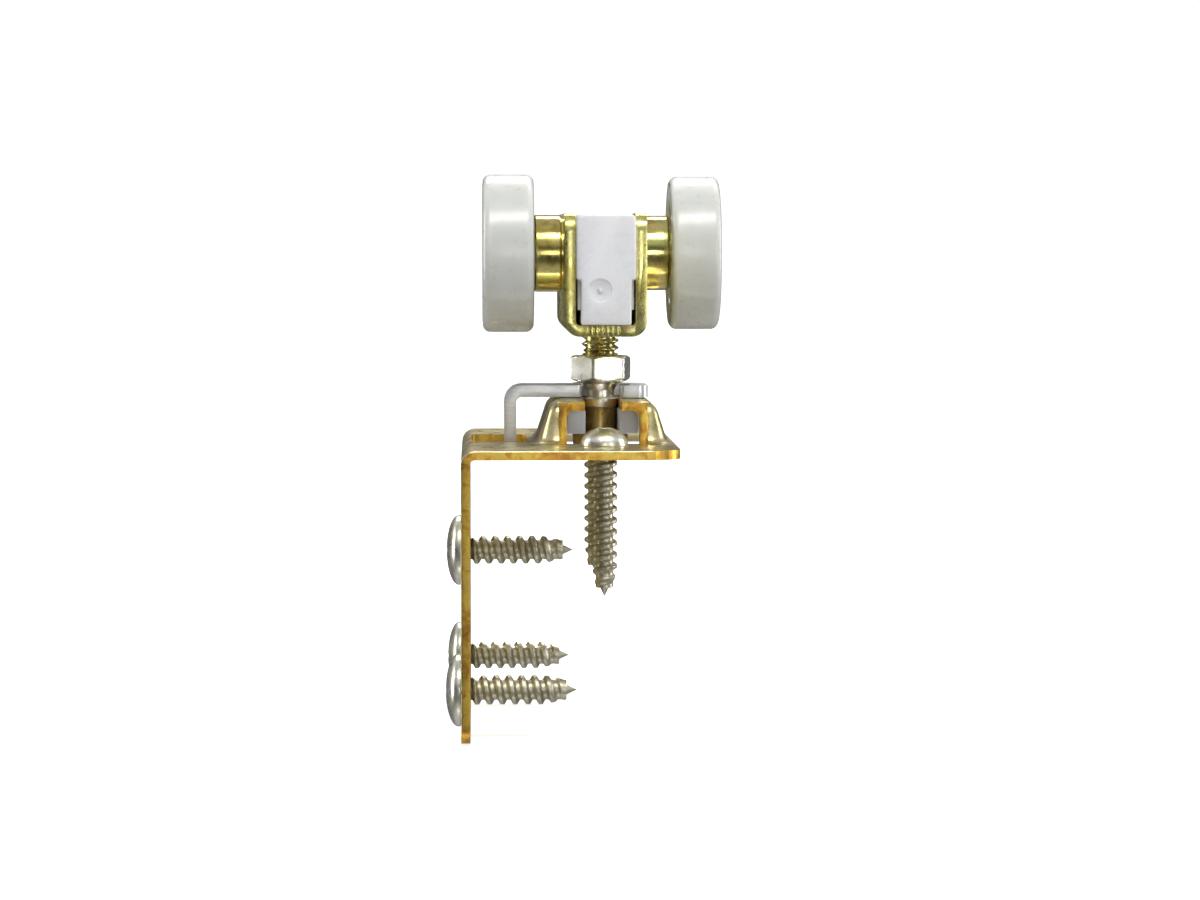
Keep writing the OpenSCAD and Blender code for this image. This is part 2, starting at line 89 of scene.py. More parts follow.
def softbox(name, azimuth, elevation, distance, size, watts, colour=(1, 1, 1)):
    """An area light that looks at the object from azimuth degrees right of the camera's side."""
    data = bpy.data.lights.new(name, "AREA")
    data.shape = "RECTANGLE"
    data.size, data.size_y = size
    data.energy = watts
    data.color = colour
    light = bpy.data.objects.new(name, data)
    light.visible_camera = False
    a, e = math.radians(azimuth), math.radians(elevation)
    way = Vector((math.sin(a) * math.cos(e), -math.cos(a) * math.cos(e), math.sin(e)))
    light.location = way * distance
    light.rotation_euler = way.to_track_quat("Z", "Y").to_euler()
    bpy.context.scene.collection.objects.link(light)


def make_world():
    """Soft light all round, with a darker belt at the horizon that the metal can mirror."""
    world = bpy.data.worlds.new("studio")
    world.use_nodes = True
    bpy.context.scene.world = world
    tree = world.node_tree
    coords = tree.nodes.new("ShaderNodeTexCoord")
    split = tree.nodes.new("ShaderNodeSeparateXYZ")
    ramp = tree.nodes.new("ShaderNodeValToRGB")
    remap = tree.nodes.new("ShaderNodeMapRange")
    remap.inputs["From Min"].default_value = -1
    tree.links.new(coords.outputs["Generated"], split.inputs[0])
    tree.links.new(split.outputs["Z"], remap.inputs["Value"])
    tree.links.new(remap.outputs[0], ramp.inputs[0])
    fill_ramp(ramp, [(at, (v, v, v)) for at, v in SKY])
    background = tree.nodes["Background"]
    tree.links.new(ramp.outputs[0], background.inputs["Color"])
    background.inputs["Strength"].default_value = SKY_STRENGTH


def make_stage():
    """A pale floor that sweeps up into a wall all round."""
    floor_z = CAD_BOX[0][2] - FLOOR_GAP * MM
    profile = [(0, 0), (FLOOR_R, 0)]
    profile += [(FLOOR_R + SWEEP_R * math.sin(a), SWEEP_R - SWEEP_R * math.cos(a))
                for a in arc_angles(0, 90, 10)[1:]]
    profile += [WALL, (0, ROOF_Z)]
    bm = bmesh.new()
    rings = []
    for r, z in profile:
        rings.append([bm.verts.new((r * math.cos(t), r * math.sin(t), z + floor_z))
                      for t in [math.tau * i / FLOOR_SIDES for i in range(FLOOR_SIDES)]])
    for low, high in zip(rings, rings[1:]):
        for i in range(FLOOR_SIDES):
            j = (i + 1) % FLOOR_SIDES
            bm.faces.new([low[i], low[j], high[j], high[i]])
    bmesh.ops.remove_doubles(bm, verts=bm.verts, dist=1e-6)
    floor = as_object(bm, "studio_floor", [studio_paper()])
    floor.visible_glossy = False
    floor.visible_diffuse = False
    floor.visible_transmission = False
    floor.visible_shadow = False


# ---------------------------------------------------------------- mesh helpers

def as_object(bm, name, materials, sharp=35):
    """The finished mesh as a smooth-shaded object with creases above sharp degrees."""
    bmesh.ops.recalc_face_normals(bm, faces=bm.faces)
    mesh = bpy.data.meshes.new(name)
    bm.to_mesh(mesh)
    bm.free()
    for material in materials:
        mesh.materials.append(material)
    obj = bpy.data.objects.new(name, mesh)
    bpy.context.scene.collection.objects.link(obj)
    smooth(obj, sharp)
    return obj


def arc_angles(start, end, steps):
    """Angles in radians through the degrees from start to end."""
    return [math.radians(start + (end - start) * k / steps) for k in range(steps + 1)]


def smooth(obj, sharp=35):
    obj.data.shade_smooth()
    obj.data.set_sharp_from_angle(angle=math.radians(sharp))


def bake(obj):
    """Turns the object's modifiers into its own mesh."""
    graph = bpy.context.evaluated_depsgraph_get()
    mesh = bpy.data.meshes.new_from_object(obj.evaluated_get(graph))
    obj.modifiers.clear()
    obj.data = mesh


def combine(obj, tool, operation="DIFFERENCE"):
    """Cuts obj with tool, or keeps what they share. Cut faces take the tool's material."""
    change = obj.modifiers.new("cut", "BOOLEAN")
    change.object = tool
    change.solver = "EXACT"
    change.operation = operation
    change.material_mode = "TRANSFER"
    bake(obj)
    bpy.data.objects.remove(tool)


def bevel(obj, width, segments=2, angle=35, sharp=35):
    change = obj.modifiers.new("bevel", "BEVEL")
    change.width = width * MM
    change.segments = segments
    change.limit_method = "ANGLE"
    change.angle_limit = math.radians(angle)
    change.use_clamp_overlap = True
    bake(obj)
    smooth(obj, sharp)


def one_finish(obj, material):
    """Gives every face the same material."""
    obj.data.materials.clear()
    obj.data.materials.append(material)
    for face in obj.data.polygons:
        face.material_index = 0


def join(pieces):
    """One object with all the pieces' shells."""
    first = pieces[0]
    bm = bmesh.new()
    for piece in pieces:
        bm.from_mesh(piece.data)
    bm.to_mesh(first.data)
    bm.free()
    for piece in pieces[1:]:
        bpy.data.objects.remove(piece)
    return first


def rounded(points, closed=False, steps=6):
    """2D points for corners given as (a, b, radius), with an arc at each corner that has a radius."""
    path = []
    count = len(points)
    for i, (a, b, r) in enumerate(points):
        here = Vector((a, b))
        if r <= 0 or (not closed and i in (0, count - 1)):
            path.append(here)
            continue
        before = (Vector(points[i - 1][:2]) - here).normalized()
        after = (Vector(points[(i + 1) % count][:2]) - here).normalized()
        half = math.acos(max(-1.0, min(1.0, before.dot(after)))) / 2
        middle = here + (before + after).normalized() * (r / math.sin(half))
        start = here + before * (r / math.tan(half)) - middle
        end = here + after * (r / math.tan(half)) - middle
        sweep = start.angle_signed(end)
        for k in range(steps + 1):
            turn = -sweep * k / steps
            path.append(middle + Matrix.Rotation(turn, 2) @ start)
    return [(p[0], p[1]) for p in path]


def prism(name, outline, low, high, axis="Z", materials=(), cap=0):
    """An outline pushed from low to high along an axis. Outline points are the other two axes' values."""
    order = {"Z": (0, 1, 2), "Y": (0, 2, 1), "X": (2, 0, 1)}[axis]
    bm = bmesh.new()
    ends = []
    for depth in (low, high):
        ring = []
        for a, b in outline:
            values = (a, b, depth)
            ring.append(bm.verts.new([values[order[k]] * MM for k in range(3)]))
        ends.append(ring)
    for i in range(len(outline)):
        j = (i + 1) % len(outline)
        bm.faces.new([ends[0][i], ends[0][j], ends[1][j], ends[1][i]])
    for ring in ends:
        bm.faces.new(ring).material_index = cap
    return as_object(bm, name, list(materials))


def spun(name, rows, axis=(0, 0, 1), place=(0, 0, 0), ring=False, materials=(), start=0.0, steps=STEPS):
    """A solid of rows (radius, height) turned about an axis at place. A radius may be a function of the
    angle. With ring, the last row joins the first one, and otherwise the ends are closed at the axis."""
    turn = Vector(axis).to_track_quat("Z", "Y").to_matrix()
    bm = bmesh.new()
    angles = [start + math.tau * i / steps for i in range(steps)]
    rings = []
    for radius, height in rows:
        at = radius if callable(radius) else (lambda t, r=radius: r)
        rings.append([bm.verts.new(
            (turn @ Vector((at(t) * math.cos(t), at(t) * math.sin(t), height)) + Vector(place)) * MM)
            for t in angles])
    pairs = list(zip(rings, rings[1:])) + ([(rings[-1], rings[0])] if ring else [])
    for low, high in pairs:
        for i in range(steps):
            j = (i + 1) % steps
            bm.faces.new([low[i], low[j], high[j], high[i]])
    if not ring:
        for end in (rings[0], rings[-1]):
            bm.faces.new(end)
    return as_object(bm, name, list(materials))


def centre(node):
    low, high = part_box(node)
    return [(low[k] + high[k]) / 2 / MM for k in range(3)]


def placed(piece, node, body):
    """The piece stands for a CAD node and rides on its body."""
    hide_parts(node)
    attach(piece, body)


# ---------------------------------------------------------------- materials

def fill_ramp(ramp, stops):
    elements = ramp.color_ramp.elements
    while len(elements) < len(stops):
        elements.new(0.5)
    for element, (at, colour) in zip(elements, stops):
        element.position = at
        element.color = (*colour, 1)


class Finish:
    """A principled material with helpers for the noise behind its colour, gloss and relief."""

    def __init__(self, name, **values):
        self.material = bpy.data.materials.new(name)
        self.material.use_nodes = True
        self.tree = self.material.node_tree
        self.shader = self.tree.nodes["Principled BSDF"]
        for key, value in values.items():
            self.shader.inputs[key.replace("_", " ")].default_value = value
        self.coords = self.tree.nodes.new("ShaderNodeTexCoord")
        self.normal = None

    def noise(self, scale, stretch=(1, 1, 1), detail=4, rough=0.55, twist=0.0):
        mapping = self.tree.nodes.new("ShaderNodeMapping")
        mapping.inputs["Scale"].default_value = stretch
        self.tree.links.new(self.coords.outputs["Object"], mapping.inputs["Vector"])
        node = self.tree.nodes.new("ShaderNodeTexNoise")
        node.inputs["Scale"].default_value = scale
        node.inputs["Detail"].default_value = detail
        node.inputs["Roughness"].default_value = rough
        node.inputs["Distortion"].default_value = twist
        self.tree.links.new(mapping.outputs[0], node.inputs["Vector"])
        return node.outputs["Fac"]

    def ramp(self, value, stops):
        node = self.tree.nodes.new("ShaderNodeValToRGB")
        fill_ramp(node, stops)
        self.tree.links.new(value, node.inputs[0])
        return node.outputs[0]

    def span(self, value, low, high, out_low, out_high):
        node = self.tree.nodes.new("ShaderNodeMapRange")
        for key, number in zip(("From Min", "From Max", "To Min", "To Max"), (low, high, out_low, out_high)):
            node.inputs[key].default_value = number
        self.tree.links.new(value, node.inputs["Value"])
        return node.outputs[0]

    def blend(self, factor, first, second, mode="MIX"):
        node = self.tree.nodes.new("ShaderNodeMix")
        node.data_type = "RGBA"
        node.blend_type = mode
        for socket, value in ((node.inputs[0], factor), (node.inputs[6], first), (node.inputs[7], second)):
            if isinstance(value, bpy.types.NodeSocket):
                self.tree.links.new(value, socket)
            else:
                socket.default_value = value if isinstance(value, float) else (*value, 1)
        return node.outputs[2]

    def set(self, key, value):
        self.tree.links.new(value, self.shader.inputs[key])

    def bump(self, height, depth_mm, strength=1.0):
        node = self.tree.nodes.new("ShaderNodeBump")
        node.inputs["Distance"].default_value = depth_mm * MM
        node.inputs["Strength"].default_value = strength
        self.tree.links.new(height, node.inputs["Height"])
        if self.normal:
            self.tree.links.new(self.normal, node.inputs["Normal"])
        self.normal = node.outputs[0]
        self.set("Normal", self.normal)


def studio_paper():
    paper = Finish("studio_paper", Roughness=0.9, Emission_Strength=0.62)
    paper.shader.inputs["Emission Color"].default_value = (1, 1, 1, 1)
    fibres = paper.noise(900, detail=2)
    paper.set("Base Color", paper.ramp(fibres, [(0.3, (0.90, 0.90, 0.895)), (0.7, (0.92, 0.92, 0.915))]))
    return paper.material


def chromate(name, stops, rough=(0.20, 0.36), cloud=170, grain=(1, 1, 1), metal=1.0):
    """Zinc plate with a passivated skin: cloudy tints, fine drawn grain and uneven gloss."""
    zinc = Finish(name, Metallic=metal)
    clouds = zinc.noise(cloud, detail=5, rough=0.6, twist=0.8)
    base = zinc.ramp(clouds, stops)
    grit = zinc.noise(2600, stretch=grain, detail=2)
    shade = zinc.ramp(grit, [(0.25, (0.80, 0.78, 0.74)), (0.6, (1, 1, 1))])
    zinc.set("Base Color", zinc.blend(0.55, base, shade, "MULTIPLY"))
    zinc.set("Roughness", zinc.span(zinc.noise(420, detail=4), 0.3, 0.7, *rough))
    zinc.bump(grit, 0.005, 0.5)
    zinc.bump(zinc.noise(260, detail=1), 0.05, 0.3)
    return zinc.material


def nylon(name, light, dark, scatter, rough, depth_mm=0.02, coat=0.15):
    """Translucent moulded nylon with faint flow marks and scuffs."""
    plastic = Finish(name, Subsurface_Weight=scatter, Subsurface_Scale=2.2 * MM, IOR=1.53)
    plastic.shader.inputs["Subsurface Radius"].default_value = (1.0, 0.9, 0.8)
    plastic.shader.inputs["Coat Weight"].default_value = coat
    plastic.shader.inputs["Coat Roughness"].default_value = 0.2
    flow = plastic.noise(110, stretch=(1, 1, 0.45), detail=3, twist=1.5)
    plastic.set("Base Color", plastic.ramp(flow, [(0.3, dark), (0.7, light)]))
    plastic.set("Roughness", plastic.span(plastic.noise(700, detail=5), 0.3, 0.7, rough - 0.07, rough + 0.1))
    plastic.bump(plastic.noise(1500, detail=4), depth_mm, 0.5)
    return plastic.material


YELLOW = chromate("yellow_zinc", [
    (0.28, (0.36, 0.32, 0.09)), (0.40, (0.60, 0.53, 0.15)), (0.50, (0.80, 0.73, 0.27)),
    (0.58, (0.70, 0.68, 0.27)), (0.66, (0.74, 0.54, 0.26)), (0.76, (0.52, 0.57, 0.20))])
SHEET = chromate("yellow_zinc_sheet", [
    (0.28, (0.38, 0.34, 0.15)), (0.42, (0.56, 0.49, 0.24)), (0.52, (0.70, 0.61, 0.34)),
    (0.62, (0.66, 0.50, 0.34)), (0.72, (0.50, 0.51, 0.24))], rough=(0.24, 0.40), grain=(1, 0.12, 1))
CUT = chromate("yellow_zinc_cut_edge", [
    (0.30, (0.52, 0.24, 0.04)), (0.45, (0.72, 0.40, 0.07)), (0.58, (0.90, 0.62, 0.11)),
    (0.70, (0.78, 0.58, 0.14))], rough=(0.32, 0.50), cloud=420, grain=(1, 1, 0.2))
AXLE = chromate("yellow_zinc_turned", [
    (0.28, (0.34, 0.27, 0.07)), (0.42, (0.58, 0.47, 0.14)), (0.52, (0.74, 0.63, 0.24)),
    (0.62, (0.56, 0.60, 0.20)), (0.72, (0.66, 0.40, 0.24))], rough=(0.12, 0.22), grain=(4, 0.3, 0.3))
SHANK = chromate("zinc_shank", [
    (0.30, (0.50, 0.47, 0.34)), (0.70, (0.66, 0.63, 0.50))], rough=(0.36, 0.50))
OLIVE = chromate("olive_zinc_thread", [
    (0.30, (0.34, 0.30, 0.15)), (0.46, (0.60, 0.55, 0.30)), (0.58, (0.80, 0.75, 0.46)),
    (0.72, (0.56, 0.58, 0.34))], rough=(0.20, 0.32))
PALE = chromate("pale_zinc", [
    (0.30, (0.62, 0.60, 0.42)), (0.44, (0.80, 0.78, 0.62)), (0.54, (0.90, 0.89, 0.80)),
    (0.64, (0.86, 0.80, 0.76)), (0.74, (0.74, 0.78, 0.60))], rough=(0.24, 0.38))
# Painted shade: a darker gold copy of the bolt's zinc. It stands in for the shade inside the saddle's tunnel,
# where the same bolt is pale zinc above the roof.
TUNNEL_SHADE_ZINC = chromate("zinc_with_painted_tunnel_shade", [
    (0.30, (0.26, 0.17, 0.05)), (0.46, (0.48, 0.34, 0.11)), (0.58, (0.66, 0.46, 0.18)),
    (0.72, (0.40, 0.36, 0.14))], rough=(0.24, 0.38))
BRIGHT = chromate("bright_zinc", [
    (0.30, (0.74, 0.76, 0.79)), (0.50, (0.88, 0.90, 0.93)), (0.66, (0.95, 0.96, 0.97)),
    (0.76, (0.78, 0.79, 0.83))], rough=(0.28, 0.42), grain=(0.15, 1, 1), metal=0.72)
STEEL = chromate("bearing_steel", [
    (0.30, (0.52, 0.53, 0.56)), (0.60, (0.70, 0.71, 0.74))], rough=(0.16, 0.26), cloud=300)
WHEEL = nylon("wheel_nylon", (0.72, 0.735, 0.70), (0.66, 0.675, 0.63), 0.55, 0.30, 0.012, 0.45)
WHITE = nylon("white_nylon", (0.90, 0.91, 0.93), (0.85, 0.86, 0.89), 0.45, 0.28, 0.01)
LINER = nylon("liner_nylon", (0.70, 0.74, 0.83), (0.64, 0.68, 0.77), 0.35, 0.34, 0.01)
CAGE = nylon("cage_nylon", (0.46, 0.33, 0.17), (0.36, 0.25, 0.12), 0.1, 0.40)

# ---------------------------------------------------------------- door plate

SHEET_T = 1.52
BEND_R = 2.3
RIM_R = 0.28
FLANGE_CORNER = 5.0
LEG_CORNER = 3.0
SADDLE_FOOT = (11.6, 17.8)
SADDLE_PLAN_R = 4.0
SADDLE_RISE = 7.08
NOSE_Y = -14.0
NOSE_HALF = 7.4
MOUTH_HALF = 6.1
LIP_Y = (-16.4, -13.0)
LIP_OVERLAP = 0.1
LIP_SINK = 0.02
LIP_ROUND = 2.4
LIP_INNER_ROUND = 1.0
LIP_EDGE = 0.14
ROOF_SLOT_R = 3.08
WINDOW = (-22.0, -12.6, -9.2, 15.3)
WINDOW_CORNER = 1.5
TOP_HOLE_R = 2.44
SIDE_HOLE_R = 2.74
PAST_SHEET = (-1, 3)
SLOT_CUT_Z = (5.0, 10)
SLOT_CUT_Y = -22
NOSE_CUT_Y = -24
NOSE_CUT_TOP = 11
NOSE_CUT_GAP = 0.005
MOUTH_CUT_Y = (-15.0, -10.5)
MOUTH_CUT_FOOT = 1.2
MOUTH_CUT_ROUND = 1.6
# Turns a hole's facets off the sheet's grid lines
HOLE_START = 0.037
# Grid lines of the sheet: a place in X or Y, then the steps to the next one
GRID_X = [(-12.1, 28), (-6.4, 16), (6.4, 28)]
GRID_Y = [(-18.0, 34), (-11.2, 26), (11.2, 34), (18.0, 24)]
SLOPE = rounded([(-4, 0, 0), (0.7, 0, 1.6), (3.0, SADDLE_RISE, 2.6), (12, SADDLE_RISE, 0)], steps=8)


def offset_slope(slope, thickness):
    """The slope's underside, one sheet thickness away along its normals."""
    under = []
    for i, point in enumerate(slope):
        before, after = Vector(slope[max(i - 1, 0)]), Vector(slope[min(i + 1, len(slope) - 1)])
        along = (after - before).normalized()
        under.append((point[0] + along.y * thickness, point[1] - along.x * thickness + thickness))
    return under


UNDER_SLOPE = offset_slope(SLOPE, SHEET_T)


def saddle_rise(x, y, slope=SLOPE):
    """Height of the pressed saddle over the flange, from the depth inside its foot."""
    qx = abs(x) - SADDLE_FOOT[0] + SADDLE_PLAN_R
    qy = abs(y) - SADDLE_FOOT[1] + SADDLE_PLAN_R
    depth = SADDLE_PLAN_R - min(max(qx, qy), 0) - math.hypot(max(qx, 0), max(qy, 0))
    for (s0, h0), (s1, h1) in zip(slope, slope[1:]):
        if s0 <= depth <= s1:
            return h0 + (h1 - h0) * (depth - s0) / (s1 - s0) if s1 > s0 else h1
    return 0.0 if depth < slope[0][0] else SADDLE_RISE


def spaced(stops):
    """Values through the stops (value, steps to the next one)."""
    values = []
    for (a, count), (b, _) in zip(stops, stops[1:]):
        values += [a + (b - a) * k / count for k in range(count)]
    return values + [stops[-1][0]]


def sheet_profile(low, high):
    """Points (x, z, normal x, normal z) up the side leg, round the bend and along the flange."""
    leg_out = low[0] / MM
    foot = low[2] / MM
    bend = (leg_out + BEND_R, SHEET_T - BEND_R)
    points = [(leg_out, z, -1, 0) for z in spaced([(foot, 30), (bend[1], 0)])]
    for a in arc_angles(0, 90, 8)[1:]:
        x, z = bend[0] - BEND_R * math.cos(a), bend[1] + BEND_R * math.sin(a)
        points.append((x, z, -math.cos(a), math.sin(a)))
    for x in spaced([(bend[0], 20), *GRID_X, (high[0] / MM, 0)])[1:]:
        points.append((x, SHEET_T, 0, 1))
    return points


def rim_roll(past):
    """How far the sheet's outer face rolls down, `past` the start of its rounded rim."""
    return RIM_R - math.sqrt(max(RIM_R ** 2 - past ** 2, 0.0)) if past > 0 else 0.0


def sheet_blank(low, high):
    """The bent and pressed sheet before it is punched. Its rim has the cut edge's finish."""
    profile = sheet_profile(low, high)
    half = high[1] / MM
    inset = half - RIM_R
    lengths = spaced([(-half, 5), (-inset, 24), *GRID_Y, (inset, 5), (half, 0)])
    bm = bmesh.new()
    outer, inner = [], []
    for x, z, nx, nz in profile:
        row_out, row_in = [], []
        for y in lengths:
            rise = saddle_rise(x, y) if nz == 1 else 0.0
            under = saddle_rise(x, y, UNDER_SLOPE) if nz == 1 else 0.0
            roll = rim_roll(abs(y) - inset)
            row_out.append(bm.verts.new(Vector((x - nx * roll, y, z - nz * roll + rise)) * MM))
            row_in.append(bm.verts.new(Vector((x - nx * SHEET_T, y, z - nz * SHEET_T + under)) * MM))
        outer.append(row_out)
        inner.append(row_in)
    rows, columns = len(profile), len(lengths)
    for i in range(rows - 1):
        for j in range(columns - 1):
            bm.faces.new([outer[i][j], outer[i + 1][j], outer[i + 1][j + 1], outer[i][j + 1]])
            bm.faces.new([inner[i][j], inner[i][j + 1], inner[i + 1][j + 1], inner[i + 1][j]])
    for j in range(columns - 1):
        for i in (0, rows - 1):
            bm.faces.new([outer[i][j], outer[i][j + 1], inner[i][j + 1], inner[i][j]]).material_index = 1
    for i in range(rows - 1):
        for j in (0, columns - 1):
            bm.faces.new([outer[i][j], outer[i + 1][j], inner[i + 1][j], inner[i][j]]).material_index = 1
    return as_object(bm, "door_plate_piece", [SHEET, CUT])


def corner_cutter(at, way, radius, low, high, axis):
    """What rounds a sheet's corner at `at`, whose sheet lies towards `way`."""
    far = 1.0
    (a, b), (u, v) = at, way
    middle = (a + u * radius, b + v * radius)
    outline = [(middle[0] - u * radius * math.cos(t), middle[1] - v * radius * math.sin(t))
               for t in arc_angles(0, 90, 10)]
    outline += [(a + u * radius, b - v * far), (a - u * far, b - v * far), (a - u * far, b + v * radius)]
    return prism("corner_cutter", outline, low, high, axis, [CUT])


def hole_cutter(radius, place, axis, low, high):
    rows = [(radius, low), (radius, high)]
    return spun("hole_cutter", rows, axis, place, materials=[CUT], start=HOLE_START, steps=64)


def mouth_lip():
    """The arch-shaped cut edge that frames the saddle's mouth and stands on the flange."""
    foot, half = SHEET_T / 2, NOSE_HALF + LIP_OVERLAP
    top, under = SHEET_T + SADDLE_RISE - LIP_SINK, SADDLE_RISE
    outline = rounded([(-MOUTH_HALF, foot, 0), (-half, foot, 0), (-half, top, LIP_ROUND),
                       (half, top, LIP_ROUND), (half, foot, 0), (MOUTH_HALF, foot, 0),
                       (MOUTH_HALF, under, LIP_INNER_ROUND), (-MOUTH_HALF, under, LIP_INNER_ROUND)],
                      closed=True)
    lip = prism("mouth_lip", outline, *LIP_Y, "Y", [SHEET, CUT], cap=1)
    bevel(lip, LIP_EDGE, 2, angle=50)
    return lip


def make_door_plate():
    low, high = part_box("door_plate")
    plate = sheet_blank(low, high)
    right, half, foot = high[0] / MM, high[1] / MM, low[2] / MM
    leg = (low[0] / MM - 0.5, low[0] / MM + SHEET_T + 0.5)
    x0, x1, y0, y1 = WINDOW
    window = rounded([(x, y, WINDOW_CORNER) for x, y in ((x0, y0), (x1, y0), (x1, y1), (x0, y1))],
                     closed=True)
    slot = [(ROOF_SLOT_R * math.cos(t), ROOF_SLOT_R * math.sin(t)) for t in arc_angles(0, 180, 32)]
    slot += [(-ROOF_SLOT_R, SLOT_CUT_Y), (ROOF_SLOT_R, SLOT_CUT_Y)]
    cutters = [prism("window_cutter", window, *PAST_SHEET, materials=[CUT])]
    for side in (-1, 1):
        cutters.append(corner_cutter((right, side * half), (-1, -side), FLANGE_CORNER, *PAST_SHEET, "Z"))
        cutters.append(corner_cutter((side * half, foot), (-side, 1), LEG_CORNER, *leg, "X"))
    for cutter in cutters:
        combine(plate, cutter)
    for node in ("top_screw_near", "top_screw_far"):
        x, y, _ = centre(node)
        combine(plate, hole_cutter(TOP_HOLE_R, (x, y, 0), (0, 0, 1), *PAST_SHEET))
    for node in ("side_screw_upper", "side_screw_near", "side_screw_far"):
        _, y, z = centre(node)
        combine(plate, hole_cutter(SIDE_HOLE_R, (leg[0], y, z), (1, 0, 0), 0, 3))
    above = SHEET_T + NOSE_CUT_GAP
    nose = [(-NOSE_HALF, above), (NOSE_HALF, above), (NOSE_HALF, NOSE_CUT_TOP), (-NOSE_HALF, NOSE_CUT_TOP)]
    combine(plate, prism("nose_cutter", nose, NOSE_CUT_Y, NOSE_Y, "Y", [SHEET, CUT], cap=1))
    mouth = rounded([(-MOUTH_HALF, MOUTH_CUT_FOOT, 0), (MOUTH_HALF, MOUTH_CUT_FOOT, 0),
                     (MOUTH_HALF, SADDLE_RISE, MOUTH_CUT_ROUND), (-MOUTH_HALF, SADDLE_RISE, MOUTH_CUT_ROUND)],
                    closed=True)
    combine(plate, prism("mouth_cutter", mouth, *MOUTH_CUT_Y, "Y", [CUT]))
    combine(plate, mouth_lip(), "UNION")
    combine(plate, prism("slot_cutter", slot, *SLOT_CUT_Z, materials=[CUT]))
    smooth(plate, 30)
    placed(plate, "door_plate", "door_plate")


# ---------------------------------------------------------------- liner and lock lever

LINER_SLOT_R = 2.83
LINER_EDGE = 0.25


def make_liner():
    low, high = [[v / MM for v in corner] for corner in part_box("slot_liner")]
    reach = LINER_SLOT_R
    outline = [(low[0], low[1]), (-reach, low[1])]
    outline += [(-reach * math.cos(t), reach * math.sin(t)) for t in arc_angles(0, 180, 32)]
    outline += [(reach, low[1]), (high[0], low[1]), (high[0], high[1]), (low[0], high[1])]
    liner = prism("slot_liner_piece", outline, low[2], high[2], materials=[LINER])
    bevel(liner, LINER_EDGE, 3)
    placed(liner, "slot_liner", "door_plate")


LEVER_T = 2.0
LEVER_BEND = 3.0
LEVER_NOTCH = 3.3
LEVER_SWING = 18.0
LEVER_LEG_Y = (-3.0, 8.0)
LEVER_EDGE = 0.28
CLAW_Y = -2.75
CLAW_CORNER = 1.8
ARM_CORNER = 3.0
PIVOT_BOSS_R = 4.4
PIVOT_HOLE_R = 2.06
RIVET_R = 2.0
RIVET_HEAD_R = 3.3
RIVET_TAIL_R = 2.4
WASHER_R = 3.7


def lever_outline(low, high, pivot):
    """The lever from above: leg edge, notch with its claw, arm and pivot boss."""
    left = low[0] - 1
    near, far = LEVER_LEG_Y
    notch = LEVER_NOTCH
    swing = math.radians(LEVER_SWING)
    locked = (pivot[1] * math.sin(swing), pivot[1] - pivot[1] * math.cos(swing))
    lean = swing / 2
    outline = rounded([(left, near, 0), (-notch, near, 0.6), (-notch, 0, 0)])
    outline += [(notch * math.cos(t), notch * math.sin(t))
                for t in [math.pi - (math.pi / 2 - lean) * k / 12 for k in range(1, 13)]]
    outline += [(locked[0] + notch * math.cos(t), locked[1] + notch * math.sin(t))
                for t in [math.pi / 2 + lean - math.pi * k / 24 for k in range(25)]]
    boss = PIVOT_BOSS_R
    outline += rounded([(notch, CLAW_Y, 0), (notch, low[1], 0.7), (high[0], low[1], CLAW_CORNER),
                        (high[0], pivot[1], ARM_CORNER), (boss, pivot[1], 0)])
    outline += [(boss * math.cos(t), pivot[1] + boss * math.sin(t))
                for t in [math.pi * k / 20 for k in range(1, 20)]]
    outline += rounded([(-boss, pivot[1], 0), (-boss, far, 0.8), (left, far, 0)])
    return outline


def make_lever():
    low, high = [[v / MM for v in corner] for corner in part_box("lock_lever")]
    rivet = centre("lever_rivet")
    top, outer = high[2], low[0]
    bend = (outer + LEVER_BEND, top - LEVER_BEND)
    inner_r = LEVER_BEND - LEVER_T
    turn = arc_angles(0, 90, 10)
    strip = [(outer, low[2])]
    strip += [(bend[0] - LEVER_BEND * math.cos(t), bend[1] + LEVER_BEND * math.sin(t)) for t in turn]
    strip += [(high[0] + 2, top), (high[0] + 2, top - LEVER_T)]
    strip += [(bend[0] - inner_r * math.cos(t), bend[1] + inner_r * math.sin(t)) for t in reversed(turn)]
    strip += [(outer + LEVER_T, low[2])]
    lever = prism("lock_lever_piece", strip, -12, 18, "Y", [BRIGHT])
    plan = prism("plan", lever_outline(low, high, rivet[:2]), low[2] - 2, top + 2, materials=[BRIGHT])
    combine(lever, plan, "INTERSECT")
    combine(lever, hole_cutter(PIVOT_HOLE_R, (rivet[0], rivet[1], 0), (0, 0, 1), low[2], top + 2))
    one_finish(lever, BRIGHT)
    bevel(lever, LEVER_EDGE, 3, angle=40)
    placed(lever, "lock_lever", "lock_lever")


def make_lever_rivet():
    low, high = [[v / MM for v in corner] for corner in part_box("lever_rivet")]
    x, y, _ = centre("lever_rivet")
    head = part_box("lever_washer")[1][2] / MM
    rows = rounded([(0.01, low[2], 0), (RIVET_TAIL_R, low[2], 0.3), (RIVET_TAIL_R, SADDLE_RISE, 0),
                    (RIVET_R, SADDLE_RISE, 0), (RIVET_R, head, 0), (RIVET_HEAD_R, head, 0),
                    (RIVET_HEAD_R, high[2], 0.75), (1.1, high[2], 0), (0.9, high[2] - 0.25, 0),
                    (0.01, high[2] - 0.3, 0)])
    rivet = spun("lever_rivet_piece", rows, place=(x, y, 0), materials=[YELLOW], steps=64)
    placed(rivet, "lever_rivet", "door_plate")
    w_low, w_high = [[v / MM for v in corner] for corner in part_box("lever_washer")]
    rows = rounded([(RIVET_R, w_low[2], 0.05), (WASHER_R, w_low[2], 0.08), (WASHER_R, w_high[2], 0.08),
                    (RIVET_R, w_high[2], 0.05)], closed=True, steps=3)
    washer = spun("lever_washer_piece", rows, place=(x, y, 0), ring=True, materials=[BRIGHT], steps=64)
    placed(washer, "lever_washer", "door_plate")


# ---------------------------------------------------------------- screws

ROWS_PER_TURN = 14
